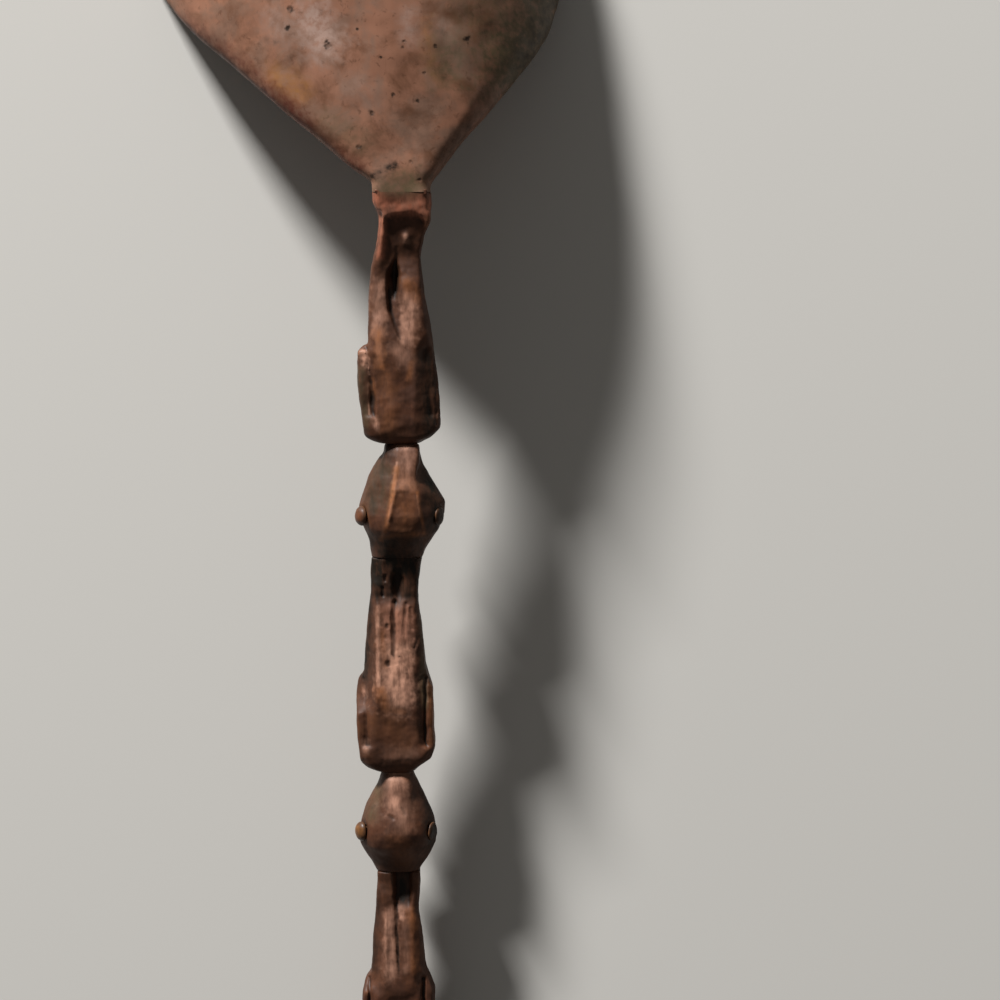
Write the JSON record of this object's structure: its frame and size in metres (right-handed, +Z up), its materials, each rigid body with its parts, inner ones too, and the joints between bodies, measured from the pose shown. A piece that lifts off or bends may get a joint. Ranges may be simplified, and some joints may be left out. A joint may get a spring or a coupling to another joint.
{
  "type": "carved wooden spoon",
  "caption": "Carved dark wooden spoon with a deep oval bowl and a slender handle of small figures standing head to foot, each with round ear pegs, lying face down on its rim.",
  "frame": {"origin": "centre of the part's box in X and Y, on the table surface that it lies on", "axes": "+Y from the handle's end towards the bowl, +Z up from the table, out of the back of the bowl"},
  "size_m": [0.0842, 0.2844, 0.032],
  "materials": {
    "bowl_wood": "worn satin, mottled pinkish brown",
    "handle_wood": "dark red-brown, waxed, with worn ridges",
    "ear_wood": "polished by handling",
    "peg_wood": "dark, cut flush"
  },
  "bodies": {
    "root": {"bowl": "bowl_wood", "tang_peg": "peg_wood", "lower_figure": "handle_wood", "lower_head": "handle_wood", "lower_ear_left": "ear_wood", "lower_ear_right": "ear_wood", "middle_figure": "handle_wood", "middle_head": "handle_wood", "middle_ear_left": "ear_wood", "middle_ear_right": "ear_wood", "upper_figure": "handle_wood", "upper_head": "handle_wood", "upper_ear_left": "ear_wood", "upper_ear_right": "ear_wood"}
  },
  "joints": []
}
